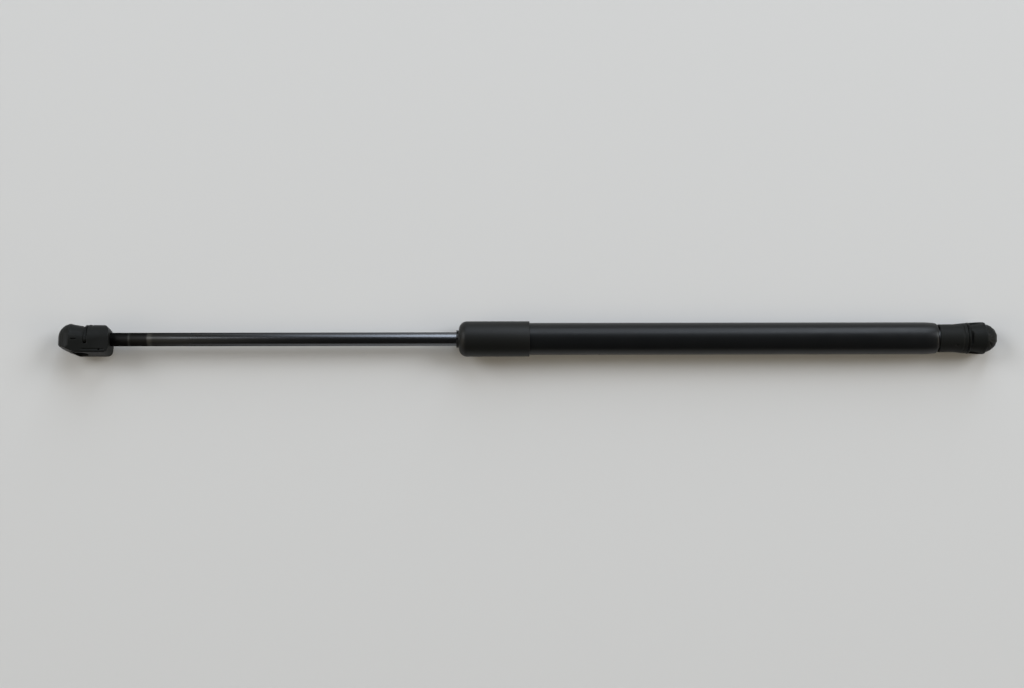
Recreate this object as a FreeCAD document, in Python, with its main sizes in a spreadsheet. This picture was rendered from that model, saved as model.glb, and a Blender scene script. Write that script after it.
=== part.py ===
import FreeCAD, Part
import math
import os
import re

import Sketcher

# Gas strut of a tailgate, lying with its rod fully out.
# Millimetres. The strut's axis is X. The origin is the ball centre of the fitting on the tube,
# and the rod points along -X. +Z is the back of the tube's fitting, whose mouth opens along -Z.

SIZES = {
    # Whole strut
    "ball_to_ball": 528.0,
    # Tube
    "tube_radius": 9.5,
    "tube_wall": 1.0,
    "tube_length": 280.4,
    "tube_seam": 0.7,
    "tube_end_round": 1.6,
    "tube_lip_width": 3.1,
    "bead_depth": 0.7,
    "bead_slope": 0.7,
    "bead_flat": 0.6,
    # Sleeve over the rod end of the tube
    "sleeve_wall": 0.9,
    "sleeve_length": 41.6,
    "sleeve_front_wall": 1.7,
    "sleeve_face_width": 0.55,
    "sleeve_gap": 0.05,
    # Wiper ring and its castellated nose
    "wiper_nose_wall": 1.11,
    "wiper_nose_proud": 1.5,
    "wiper_notch_depth": 1.1,
    "wiper_notch_width": 1.3,
    "wiper_notches": 8,
    "wiper_gap": 0.05,
    # Rod
    "rod_radius": 4.0,
    "rod_gap": 0.04,
    "rod_shoulder_chamfer": 0.3,
    "stud_radius": 3.0,
    "stud_length": 10.0,
    "stud_chamfer": 0.7,
    "stud_gap": 0.05,
    "stud_hole_spare": 0.8,
    "journal_radius": 2.5,
    "journal_gap": 0.03,
    "rivet_overhang": 1.0,
    "rivet_height": 1.3,
    "rivet_round": 0.9,
    # Guide and seal pack
    "pack_gap": 0.05,
    "washer_thickness": 1.2,
    "washer_hole_gap": 0.4,
    "guide_length": 8.0,
    "guide_relief_depth": 1.0,
    "guide_relief_width": 1.2,
    "seal_length": 5.0,
    "seal_lip": 1.1,
    "seal_base": 2.2,
    "seal_washer_thickness": 1.5,
    "o_ring_groove_width": 2.2,
    "o_ring_groove_depth": 1.5,
    "o_ring_gap": 0.03,
    # Piston group
    "piston_stop_gap": 0.3,
    "throttle_thickness": 1.0,
    "piston_gap": 0.35,
    "ring_width": 2.6,
    "ring_side_gap": 0.1,
    "ring_gap": 0.04,
    "ring_depth": 1.86,
    "piston_hub_gap": 0.4,
    "piston_flange_length": 3.0,
    "piston_channel_width": 2.0,
    "piston_channel_depth": 2.6,
    "piston_channels": 3,
    "rivet_washer_thickness": 1.2,
    "rivet_washer_radius": 5.5,
    # End plug
    "plug_length": 9.5,
    "plug_gap": 0.05,
    "plug_corner_gap": 0.1,
    "plug_boss_gap": 0.1,
    "plug_groove_inset": 1.6,
    # Moulded ball sockets, measured from the ball centre. The tube's has the longer barrel,
    # and the rod's has a rounded heel.
    "tube_fitting_face": 21.6,
    "rod_fitting_face": 18.0,
    "rod_fitting_heel_round": 5.5,
    "tube_fitting_heel_round": 0.5,
    "fitting_nose": 12.8,
    "fitting_mouth": 9.0,
    "fitting_flat_half_width": 7.0,
    "fitting_flat_front": 1.2,
    "fitting_foot_round": 3.2,
    "fitting_foot_side_round": 1.2,
    "fitting_chin": 4.3,
    "fitting_chin_round": 3.0,
    "fitting_top": 9.45,
    "fitting_nose_round": 8.8,
    "fitting_nose_plan_radius": 8.3,
    "fitting_nose_crown": 0.1,
    "fitting_barrel_top": 8.8,
    # How far the socket's forms run past its face, where the side form alone ends it
    "form_spare": 2.0,
    # The socket's arched section: its radius and how far its centre lies above the axis
    "face_radius": 8.25,
    "face_rise": 0.3,
    "barrel_setback": 13.0,
    "barrel_radius": 8.25,
    "barrel_rise": 0.35,
    "waist_setback": 7.0,
    "waist_radius": 8.9,
    "waist_rise": -0.25,
    "head_start": 1.5,
    "head_end": 5.3,
    "head_radius": 9.4,
    "head_rise": -0.05,
    # Saddle across the back, from the clip up to the crest
    "dip_setback": 2.4,
    "dip_depth": 1.45,
    "dip_round": 2.5,
    "dip_shelf": 3.2,
    "dip_shelf_depth": 0.5,
    "dip_end": 5.2,
    "dip_sweep": 170.0,
    # Grooves that fan out over the nose
    "nose_grooves": 5,
    "nose_groove_pitch": 25.0,
    "nose_groove_width": 0.9,
    "nose_groove_depth": 0.5,
    "nose_groove_start": 3.2,
    # Line that the mould's slide leaves round the barrel's back
    "slide_line_setback": 8.1,
    "slide_line_width": 0.7,
    "slide_line_depth": 0.35,
    "slide_line_sweep": 110.0,
    # Small recesses of the mould: a groove along each flank with a pit in it, a slit under the
    # saddle on each side, and one place on the back
    "flank_groove_back": 15.8,
    "flank_groove_front": 2.5,
    "flank_groove_rise": 1.2,
    "flank_groove_height": 0.9,
    "flank_groove_half_width": 7.0,
    "pit_setback": 13.3,
    "pit_length": 1.4,
    "pit_half_width": 6.2,
    "slit_start": 0.3,
    "slit_length": 3.5,
    "slit_drop": 1.7,
    "slit_height": 0.6,
    "slit_half_width": 8.4,
    "back_recess_setback": 12.8,
    "back_recess_length": 2.3,
    "back_recess_offset": 3.7,
    "back_recess_width": 1.3,
    "back_recess_floor": 6.9,
    # Ball seat
    "ball_seat_radius": 5.05,
    "mouth_ease": 0.25,
    "mouth_depth": 5.2,
    # Safety clip
    "wire_radius": 0.9,
    "clip_setback": 4.5,
    "clip_leg": 8.3,
    "clip_back": 7.6,
    "clip_end_depth": 3.0,
    "clip_back_bend": 7.6,
    "clip_foot_bend": 1.8,
    "clip_lift": 3.0,
    "clip_groove_gap": 0.05,
    "clip_slot_gap": 0.1,
    "clip_relief_inset": 1.9,
    # Screwdriver pocket in front of the clip
    "pocket_length": 1.4,
    "pocket_half_width": 4.5,
    # Roll of the rod's fitting about the axis, in degrees: its mouth looks along -Y and a little up
    "rod_fitting_roll": 102.5,
}

doc = FreeCAD.newDocument("tailgate_gas_strut")
sheet = doc.addObject("Spreadsheet::Sheet", "sizes")
for row, (name, value) in enumerate(SIZES.items(), start=1):
    sheet.set(f"A{row}", name)
    sheet.set(f"B{row}", str(value))
    sheet.setAlias(f"B{row}", name)
doc.recompute()

# Places along the axis, from the tube's closed end to the rod's fitting
FACE = "-tube_fitting_face"
TUBE_BACK = f"({FACE} - tube_seam)"
TUBE_FRONT = f"({TUBE_BACK} - tube_length)"
BORE = "(tube_radius - tube_wall)"
PLUG_SEAT = f"({TUBE_BACK} - tube_wall)"
PACK_FRONT = f"({TUBE_FRONT} + tube_wall)"
GUIDE_FRONT = f"({PACK_FRONT} + washer_thickness)"
SEAL_FRONT = f"({GUIDE_FRONT} + guide_length)"
SEAL_WASHER_FRONT = f"({SEAL_FRONT} + seal_length)"
BEAD_FRONT = f"({SEAL_WASHER_FRONT} + seal_washer_thickness)"
BEAD_BACK = f"({BEAD_FRONT} + 2 * bead_slope + bead_flat)"
THROTTLE_FRONT = f"({BEAD_BACK} + piston_stop_gap)"
RING_ROOM_FRONT = f"({THROTTLE_FRONT} + throttle_thickness)"
PISTON_FLANGE = f"({RING_ROOM_FRONT} + ring_width + 2 * ring_side_gap)"
PISTON_BACK = f"({PISTON_FLANGE} + piston_flange_length)"
RIVET_FACE = f"({PISTON_BACK} + rivet_washer_thickness)"
ROD_SHOULDER = "(rod_fitting_face - ball_to_ball)"
SLEEVE_FRONT = f"({TUBE_FRONT} - sleeve_front_wall)"

# Radii that follow the tube's bore or the rod
TUBE_LIP = "(tube_radius - tube_lip_width)"
WIPER_NOSE = "(rod_radius + rod_gap + wiper_nose_wall)"
SLEEVE_HOLE = f"({WIPER_NOSE} + wiper_gap)"
SLEEVE_RADIUS = "(tube_radius + sleeve_gap + sleeve_wall)"
PISTON_RIM = f"({BORE} - piston_gap)"
RING_RADIUS = f"({BORE} - ring_gap)"
RING_HOLE = f"({RING_RADIUS} - ring_depth)"
# How far each end of the clip's wire stops from the middle, clear of the ball
CLIP_END_REACH = "sqrt((ball_seat_radius + wire_radius) ^ 2 - clip_setback ^ 2 - clip_end_depth ^ 2)"


def bound(formula):
    """The formula with each size's name pointing at its cell."""
    return re.sub(
        r"[a-z]\w+",
        lambda word: "sizes." + word.group() if word.group() in SIZES else word.group(),
        formula,
    )


def origin_plane(body, role):
    return next(item for item in body.Origin.OriginFeatures if item.Role == role)


def new_body(label):
    body = doc.addObject("PartDesign::Body", label)
    body.Label = label
    return body


def new_sketch(body, role, lift=None):
    """A sketch on one of the body's own origin planes, lifted off it along its normal."""
    sketch = body.newObject("Sketcher::SketchObject", body.Label + "_sketch")
    sketch.AttachmentSupport = [(origin_plane(body, role), "")]
    sketch.MapMode = "FlatFace"
    if lift:
        sketch.setExpression("AttachmentOffset.Base.z", bound(lift))
    return sketch


def pin_point(sketch, geometry, point, across, up):
    """Holds a sketch point at two formulas, measured from the sketch's origin."""
    for direction, formula in (("DistanceX", across), ("DistanceY", up)):
        name = f"{direction}_{geometry}_{point}"
        index = sketch.addConstraint(Sketcher.Constraint(direction, -1, 1, geometry, point, 1.0))
        sketch.renameConstraint(index, name)
        sketch.setExpression("Constraints." + name, bound(formula))


def rounded_corners(sketch, corners):
    """Rounds corners of a sketch, each given by its two sides in order and the round's size."""
    for first, second, size in corners:
        ends = sketch.getPoint(first, 1), sketch.getPoint(second, 2)
        sketch.fillet(first, second, *ends, SIZES[size], True, True)
        arc = max(number for number, item in enumerate(sketch.Geometry) if isinstance(item, Part.ArcOfCircle))
        index = sketch.addConstraint(Sketcher.Constraint("Radius", arc, SIZES[size]))
        sketch.renameConstraint(index, f"round_{first}")
        sketch.setExpression(f"Constraints.round_{first}", bound(size))


def outline(body, role, corners, lift=None, closed=True):
    """A sketch of straight sides through the corners, each corner given by two formulas."""
    sketch = new_sketch(body, role, lift)
    count = len(corners)
    turn = 2 * math.pi / count
    spots = [FreeCAD.Vector(math.cos(turn * k), math.sin(turn * k), 0) for k in range(count)]
    sides = count if closed else count - 1
    for side in range(sides):
        sketch.addGeometry(Part.LineSegment(spots[side], spots[(side + 1) % count]))
    for side in range(sides if closed else sides - 1):
        sketch.addConstraint(Sketcher.Constraint("Coincident", side, 2, (side + 1) % count, 1))
    for corner, (across, up) in enumerate(corners):
        if corner < sides:
            pin_point(sketch, corner, 1, across, up)
        else:
            pin_point(sketch, corner - 1, 2, across, up)
    doc.recompute()
    return sketch


def turned(body, corners, role="XY_Plane", axis="H_Axis", sweep=None):
    """A solid of revolution about X, or about Z. A part turn sweeps as far to each side of its sketch."""
    sketch = outline(body, role, corners)
    feature = body.newObject("PartDesign::Revolution", body.Label + "_turned")
    feature.Profile = sketch
    feature.ReferenceAxis = (sketch, [axis])
    feature.Angle = 360.0
    if sweep:
        feature.Midplane = True
        feature.setExpression("Angle", bound(sweep))
    doc.recompute()
    return sketch


def padded(body, role, corners, length):
    """A slab of the outline, half its length to each side of the plane."""
    sketch = outline(body, role, corners)
    feature = body.newObject("PartDesign::Pad", body.Label + "_pad")
    feature.Profile = sketch
    feature.SideType = "Symmetric"
    feature.setExpression("Length", bound(length))
    doc.recompute()
    return sketch


def corner_edges(body, sketch, corners):
    """Names of the edges that a sketch's corners drew: circles of a turned piece, or straight edges."""
    normal = sketch.getGlobalPlacement().Rotation.multVec(FreeCAD.Vector(0, 0, 1))
    names = []
    for corner in corners:
        spot = Part.Vertex(sketch.Placement.multVec(sketch.getPoint(corner, 1)))
        for number, edge in enumerate(body.Tip.Shape.Edges, start=1):
            if edge.distToShape(spot)[0] > 1e-5:
                continue
            along = isinstance(edge.Curve, Part.Line) and abs(edge.Curve.Direction.dot(normal)) > 0.999
            if isinstance(edge.Curve, Part.Circle) or along:
                names.append(f"Edge{number}")
    return names


def dressed(body, kind, sketch, corners, length):
    """Rounds (kind Fillet) or bevels (kind Chamfer) the edges that a sketch's corners drew."""
    names = corner_edges(body, sketch, corners)
    base = body.Tip
    feature = body.newObject("PartDesign::" + kind, f"{body.Label}_{kind.lower()}")
    feature.Base = (base, names)
    feature.setExpression("Radius" if kind == "Fillet" else "Size", bound(length))
    doc.recompute()


def pocket_pattern(body, role, corners, depth, occurrences, reverse):
    """Cuts a pocket outwards from the plane and repeats it all round the X axis."""
    before = body.Shape.Volume
    sketch = outline(body, role, corners)
    pocket = body.newObject("PartDesign::Pocket", body.Label + "_pocket")
    pocket.Profile = sketch
    pocket.Reversed = reverse
    pocket.setExpression("Length", bound(depth))
    doc.recompute()
    pattern = body.newObject("PartDesign::PolarPattern", body.Label + "_pattern")
    pattern.Originals = [pocket]
    pattern.Axis = (origin_plane(body, "X_Axis"), [""])
    pattern.Angle = 360.0
    pattern.setExpression("Occurrences", bound(occurrences))
    body.Tip = pattern
    doc.recompute()
    if body.Shape.Volume > before - 1e-6:
        raise SystemExit(f"{body.Label}: the pocket cuts nothing")


def block(label, low, high):
    """A box between two corners."""
    box = doc.addObject("Part::Box", label)
    for side, axis, start, end in zip(("Length", "Width", "Height"), "xyz", low, high):
        box.setExpression(side, bound(f"({end}) - ({start})"))
        box.setExpression(f"Placement.Base.{axis}", bound(start))
    return box


def round_bar(label, radius, start, end, axis):
    """A cylinder about the X or the Z axis, between two places along it."""
    bar = doc.addObject("Part::Cylinder", label)
    if axis == "x":
        bar.Placement.Rotation = FreeCAD.Rotation(FreeCAD.Vector(0, 1, 0), 90)
    bar.setExpression("Radius", bound(radius))
    bar.setExpression("Height", bound(f"({end}) - ({start})"))
    bar.setExpression(f"Placement.Base.{axis}", bound(start))
    return bar


def joined(kind, label, shapes):
    """MultiFuse or MultiCommon of several shapes."""
    result = doc.addObject("Part::" + kind, label)
    result.Shapes = shapes
    return result


def cut(label, base, tool):
    result = doc.addObject("Part::Cut", label)
    result.Base = base
    result.Tool = tool
    return result


# Tube


def make_pressure_tube():
    """Drawn tube with both ends rolled in and a rolled bead behind the seal pack."""
    body = new_body("pressure_tube")
    slope_end = f"{BEAD_FRONT} + bead_slope"
    flat_end = f"{BEAD_FRONT} + bead_slope + bead_flat"
    sketch = turned(
        body,
        [
            (TUBE_FRONT, TUBE_LIP),
            (TUBE_FRONT, "tube_radius"),
            (BEAD_FRONT, "tube_radius"),
            (slope_end, "tube_radius - bead_depth"),
            (flat_end, "tube_radius - bead_depth"),
            (BEAD_BACK, "tube_radius"),
            (TUBE_BACK, "tube_radius"),
            (TUBE_BACK, TUBE_LIP),
            (PLUG_SEAT, TUBE_LIP),
            (PLUG_SEAT, BORE),
            (BEAD_BACK, BORE),
            (flat_end, f"{BORE} - bead_depth"),
            (slope_end, f"{BORE} - bead_depth"),
            (BEAD_FRONT, BORE),
            (PACK_FRONT, BORE),
            (PACK_FRONT, TUBE_LIP),
        ],
    )
    dressed(body, "Fillet", sketch, (1, 6), "tube_end_round")
    dressed(body, "Fillet", sketch, (9, 14), "tube_end_round - tube_wall")
    return body


def make_protective_sleeve():
    """Moulded sleeve pushed over the rod end of the tube, with a rounded front shoulder."""
    body = new_body("protective_sleeve")
    rear = f"{SLEEVE_FRONT} + sleeve_length"
    inside = "tube_radius + sleeve_gap"
    sketch = turned(
        body,
        [
            (SLEEVE_FRONT, SLEEVE_HOLE),
            (SLEEVE_FRONT, SLEEVE_RADIUS),
            (rear, SLEEVE_RADIUS),
            (rear, inside),
            (TUBE_FRONT, inside),
            (TUBE_FRONT, SLEEVE_HOLE),
        ],
    )
    dressed(body, "Fillet", sketch, (4,), "tube_end_round")
    dressed(body, "Fillet", sketch, (1,), f"{SLEEVE_RADIUS} - {SLEEVE_HOLE} - sleeve_face_width")
    return body


def make_rod_wiper():
    """Wiper ring held in the tube's rolled lip. Its notched nose stands out of the sleeve."""
    body = new_body("rod_wiper")
    tip = f"{SLEEVE_FRONT} - wiper_nose_proud"
    hole = "rod_radius + rod_gap"
    turned(
        body,
        [
            (tip, hole),
            (tip, WIPER_NOSE),
            (TUBE_FRONT, WIPER_NOSE),
            (TUBE_FRONT, f"{TUBE_LIP} - wiper_gap"),
            (PACK_FRONT, f"{TUBE_LIP} - wiper_gap"),
            (PACK_FRONT, hole),
        ],
    )
    notch_floor = f"{tip} + wiper_notch_depth"
    before_tip = f"{tip} - wiper_notch_depth"
    half = "wiper_notch_width / 2"
    pocket_pattern(
        body,
        "XY_Plane",
        [
            (before_tip, f"-{half}"),
            (notch_floor, f"-{half}"),
            (notch_floor, half),
            (before_tip, half),
        ],
        f"{WIPER_NOSE} * 2",
        "wiper_notches",
        True,
    )
    return body


# Guide and seal pack


def make_retaining_washer():
    body = new_body("retaining_washer")
    outer = f"{BORE} - (tube_end_round - tube_wall) - pack_gap"
    turned(body, ring_corners(PACK_FRONT, GUIDE_FRONT, "rod_radius + washer_hole_gap", outer))
    return body


def ring_corners(front, back, inner, outer):
    """Outline of a plain ring between two places along the axis."""
    return [(front, inner), (front, outer), (back, outer), (back, inner)]


def groove_corners(start, floor, rim):
    """Outline of an O-ring groove that starts at a place along the axis."""
    end = f"{start} + o_ring_groove_width"
    return [(start, rim), (start, floor), (end, floor), (end, rim)]


GUIDE_RIM = f"{BORE} - pack_gap"
GROOVE_FLOOR = f"{BORE} - o_ring_groove_depth"
GUIDE_GROOVE = f"{GUIDE_FRONT} + (guide_length - o_ring_groove_width) / 2"


def make_guide_bush():
    """Bush that guides the rod, with a groove for its O-ring and a relief at the front of the bore."""
    body = new_body("guide_bush")
    hole = "rod_radius + rod_gap"
    relief_hole = f"{hole} + guide_relief_depth"
    relief_end = f"{GUIDE_FRONT} + guide_relief_width"
    turned(
        body,
        [
            (GUIDE_FRONT, relief_hole),
            (GUIDE_FRONT, GUIDE_RIM),
            *groove_corners(GUIDE_GROOVE, GROOVE_FLOOR, GUIDE_RIM),
            (SEAL_FRONT, GUIDE_RIM),
            (SEAL_FRONT, hole),
            (relief_end, hole),
            (relief_end, relief_hole),
        ],
    )
    return body


def make_o_ring(label, groove_start):
    """O-ring that fills its groove up to the tube's bore."""
    ring = doc.addObject("Part::Torus", label)
    ring.Label = label
    ring.Placement.Rotation = FreeCAD.Rotation(FreeCAD.Vector(0, 1, 0), 90)
    ring.setExpression("Radius1", bound(f"{BORE} - o_ring_groove_depth / 2"))
    ring.setExpression("Radius2", bound("o_ring_groove_depth / 2 - o_ring_gap"))
    ring.setExpression("Placement.Base.x", bound(f"{groove_start} + o_ring_groove_width / 2"))
    return ring


def make_rod_seal():
    """U-cup seal, open towards the gas."""
    body = new_body("rod_seal")
    inner = "(rod_radius + rod_gap)"
    outer = f"({GUIDE_RIM})"
    turned(
        body,
        [
            (SEAL_FRONT, inner),
            (SEAL_FRONT, outer),
            (SEAL_WASHER_FRONT, outer),
            (SEAL_WASHER_FRONT, f"{outer} - seal_lip"),
            (f"{SEAL_FRONT} + seal_base", f"({inner} + {outer}) / 2"),
            (SEAL_WASHER_FRONT, f"{inner} + seal_lip"),
            (SEAL_WASHER_FRONT, inner),
        ],
    )
    return body


def make_seal_washer():
    """Washer between the seal and the tube's bead."""
    body = new_body("seal_washer")
    turned(body, ring_corners(SEAL_WASHER_FRONT, BEAD_FRONT, "rod_radius + washer_hole_gap", GUIDE_RIM))
    return body


# Rod and piston group


def make_piston_rod():
    """Ground rod with a stub for the fitting and a riveted journal for the piston."""
    body = new_body("piston_rod")
    stub_end = f"{ROD_SHOULDER} - stud_length"
    rivet_end = f"{RIVET_FACE} + rivet_height"
    sketch = turned(
        body,
        [
            (stub_end, "0"),
            (stub_end, "stud_radius"),
            (ROD_SHOULDER, "stud_radius"),
            (ROD_SHOULDER, "rod_radius"),
            (THROTTLE_FRONT, "rod_radius"),
            (THROTTLE_FRONT, "journal_radius"),
            (RIVET_FACE, "journal_radius"),
            (RIVET_FACE, "journal_radius + rivet_overhang"),
            (rivet_end, "journal_radius + rivet_overhang"),
            (rivet_end, "0"),
        ],
    )
    dressed(body, "Chamfer", sketch, (1,), "stud_chamfer")
    dressed(body, "Chamfer", sketch, (3,), "rod_shoulder_chamfer")
    dressed(body, "Fillet", sketch, (8,), "rivet_round")
    return body


def make_throttle_disc():
    """Disc ahead of the piston ring. It meets the bead when the rod is fully out."""
    body = new_body("throttle_disc")
    hole = "journal_radius + journal_gap"
    turned(body, ring_corners(THROTTLE_FRONT, RING_ROOM_FRONT, hole, PISTON_RIM))
    return body


def make_piston_ring():
    """Ring that seals the piston to the tube, between the disc and the piston's flange."""
    body = new_body("piston_ring")
    front = f"{RING_ROOM_FRONT} + ring_side_gap"
    back = f"{front} + ring_width"
    turned(body, ring_corners(front, back, RING_HOLE, RING_RADIUS))
    return body


def make_piston():
    """Piston with a hub under the ring, a flange behind it and gas channels in the flange."""
    body = new_body("piston")
    hole = "journal_radius + journal_gap"
    hub = f"{RING_HOLE} - piston_hub_gap"
    turned(
        body,
        [
            (RING_ROOM_FRONT, hole),
            (RING_ROOM_FRONT, hub),
            (PISTON_FLANGE, hub),
            (PISTON_FLANGE, PISTON_RIM),
            (PISTON_BACK, PISTON_RIM),
            (PISTON_BACK, hole),
        ],
    )
    half = "piston_channel_width / 2"
    inner = f"{PISTON_RIM} - piston_channel_depth"
    outer = f"{PISTON_RIM} + piston_channel_depth"
    pocket_pattern(
        body,
        "YZ_Plane",
        [
            (f"-{half}", inner),
            (half, inner),
            (half, outer),
            (f"-{half}", outer),
        ],
        f"-({PISTON_FLANGE})",
        "piston_channels",
        False,
    )
    return body


def make_rivet_washer():
    body = new_body("rivet_washer")
    hole = "journal_radius + journal_gap"
    turned(body, ring_corners(PISTON_BACK, RIVET_FACE, hole, "rivet_washer_radius"))
    return body


# Closed end

PLUG_INNER = f"({PLUG_SEAT} - plug_length)"
PLUG_GROOVES = (
    f"({PLUG_INNER} + plug_groove_inset)",
    f"({PLUG_INNER} + 2 * plug_groove_inset + o_ring_groove_width)",
)


def make_end_plug():
    """Plug behind the tube's closed lip. Its boss meets the fitting and its stud screws into it."""
    body = new_body("end_plug")
    rim = f"{BORE} - plug_gap"
    boss = f"{TUBE_LIP} - plug_boss_gap"
    stud_end = f"{FACE} + stud_length"
    sketch = turned(
        body,
        [
            (PLUG_INNER, "0"),
            (PLUG_INNER, rim),
            *groove_corners(PLUG_GROOVES[0], GROOVE_FLOOR, rim),
            *groove_corners(PLUG_GROOVES[1], GROOVE_FLOOR, rim),
            (PLUG_SEAT, rim),
            (PLUG_SEAT, boss),
            (FACE, boss),
            (FACE, "stud_radius"),
            (stud_end, "stud_radius"),
            (stud_end, "0"),
        ],
    )
    dressed(body, "Chamfer", sketch, (10,), "tube_end_round - tube_wall + plug_corner_gap")
    dressed(body, "Chamfer", sketch, (14,), "stud_chamfer")
    return body


# Moulded ball socket


def side_form(name, face, heel_round):
    """The socket seen from its side: foot, chin, rounded nose, level back and heel."""
    body = new_body(name + "_side")
    sketch = padded(
        body,
        "XZ_Plane",
        [
            (face, "-fitting_mouth"),
            ("fitting_flat_front", "-fitting_mouth"),
            ("fitting_nose", "-fitting_chin"),
            ("fitting_nose", "fitting_top"),
            ("head_start", "fitting_top"),
            ("-waist_setback", "fitting_barrel_top"),
            (face, "fitting_barrel_top"),
        ],
        "head_radius * 4",
    )
    dressed(body, "Fillet", sketch, (3,), "fitting_nose_round")
    dressed(body, "Fillet", sketch, (6,), heel_round)
    dressed(body, "Fillet", sketch, (0,), "fitting_foot_round")
    dressed(body, "Fillet", sketch, (2,), "fitting_chin_round")
    return body


def plan_form(name, face):
    """The socket seen from its back: free as far as the head's end, then a domed nose."""
    sides = block(
        name + "_sides",
        (f"{face} - form_spare", "-head_radius * 2", "-fitting_mouth * 2"),
        ("head_end", "head_radius * 2", "fitting_mouth * 2"),
    )
    nose = new_body(name + "_nose")
    sketch = turned(
        nose,
        [
            ("0", "-fitting_mouth * 2"),
            ("fitting_nose_plan_radius", "-fitting_mouth * 2"),
            ("fitting_nose_plan_radius", "fitting_top"),
            ("0", "fitting_top"),
        ],
        role="XZ_Plane",
        axis="V_Axis",
    )
    dressed(nose, "Fillet", sketch, (2,), "fitting_nose_plan_radius - fitting_nose_crown")
    nose.setExpression("Placement.Base.x", bound("fitting_nose - fitting_nose_plan_radius"))
    return joined("MultiFuse", name + "_plan", [sides, nose])


def arch(body, place, radius, rise):
    """Section across the socket: an arch whose sides run down, tangent, to the flat of the mouth side."""
    sketch = new_sketch(body, "YZ_Plane", place)
    wide, deep = SIZES["fitting_flat_half_width"], SIZES["fitting_mouth"]
    centre = FreeCAD.Vector(0, SIZES[rise], 0)
    right_foot, left_foot = FreeCAD.Vector(wide, -deep, 0), FreeCAD.Vector(-wide, -deep, 0)
    reach = right_foot - centre
    start = math.atan2(reach.y, reach.x) + math.acos(SIZES[radius] / reach.Length)
    circle = Part.Circle(centre, FreeCAD.Vector(0, 0, 1), SIZES[radius])
    curve = Part.ArcOfCircle(circle, start, math.pi - start)
    sketch.addGeometry(curve)
    sketch.addGeometry(Part.LineSegment(curve.EndPoint, left_foot))
    sketch.addGeometry(Part.LineSegment(left_foot, right_foot))
    sketch.addGeometry(Part.LineSegment(right_foot, curve.StartPoint))
    pin_point(sketch, 0, 3, "0", rise)
    pin_point(sketch, 2, 1, "-fitting_flat_half_width", "-fitting_mouth")
    pin_point(sketch, 2, 2, "fitting_flat_half_width", "-fitting_mouth")
    arc_radius = sketch.addConstraint(Sketcher.Constraint("Radius", 0, SIZES[radius]))
    sketch.renameConstraint(arc_radius, "arch_radius")
    sketch.setExpression("Constraints.arch_radius", bound(radius))
    sketch.addConstraint(Sketcher.Constraint("Tangent", 0, 2, 1, 1))
    sketch.addConstraint(Sketcher.Constraint("Coincident", 1, 2, 2, 1))
    sketch.addConstraint(Sketcher.Constraint("Coincident", 2, 2, 3, 1))
    sketch.addConstraint(Sketcher.Constraint("Tangent", 3, 2, 0, 1))
    doc.recompute()
    rounded_corners(sketch, ((1, 2, "fitting_foot_side_round"), (2, 3, "fitting_foot_side_round")))
    doc.recompute()
    return sketch


def section_form(name, face):
    """Barrel that swells into the head, lofted through arches, with the saddle turned out of its back."""
    loft_body = new_body(name + "_loft")
    arches = [
        arch(loft_body, f"{face} - form_spare", "face_radius", "face_rise"),
        arch(loft_body, "-barrel_setback", "barrel_radius", "barrel_rise"),
        arch(loft_body, "-waist_setback", "waist_radius", "waist_rise"),
        arch(loft_body, "head_start", "head_radius", "head_rise"),
        arch(loft_body, "fitting_nose", "head_radius", "head_rise"),
    ]
    loft = loft_body.newObject("PartDesign::AdditiveLoft", name + "_arches")
    loft.Profile = arches[0]
    loft.Sections = arches[1:]
    loft.Ruled = True
    doc.recompute()
    dip = new_body(name + "_dip")
    outside = "head_radius * 2"
    dip_sketch = turned(
        dip,
        [
            ("-clip_setback", outside),
            ("-clip_setback", "head_radius - dip_depth"),
            ("-dip_setback", "head_radius - dip_depth"),
            ("dip_shelf", "head_radius - dip_shelf_depth"),
            ("dip_end", "head_radius"),
            ("dip_end", outside),
        ],
        role="XZ_Plane",
        sweep="dip_sweep",
    )
    dressed(dip, "Fillet", dip_sketch, (2,), "dip_round")
    dip.setExpression("Placement.Base.z", bound("head_rise"))
    slide_line = new_body(name + "_slide_line")
    line_end = "-slide_line_setback + slide_line_width"
    turned(
        slide_line,
        [
            ("-slide_line_setback", outside),
            ("-slide_line_setback", "waist_radius - slide_line_depth"),
            (line_end, "waist_radius - slide_line_depth"),
            (line_end, outside),
        ],
        role="XZ_Plane",
        sweep="slide_line_sweep",
    )
    slide_line.setExpression("Placement.Base.z", bound("waist_rise"))
    return cut(name + "_section", loft_body, joined("MultiFuse", name + "_hollows", [dip, slide_line]))


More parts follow.
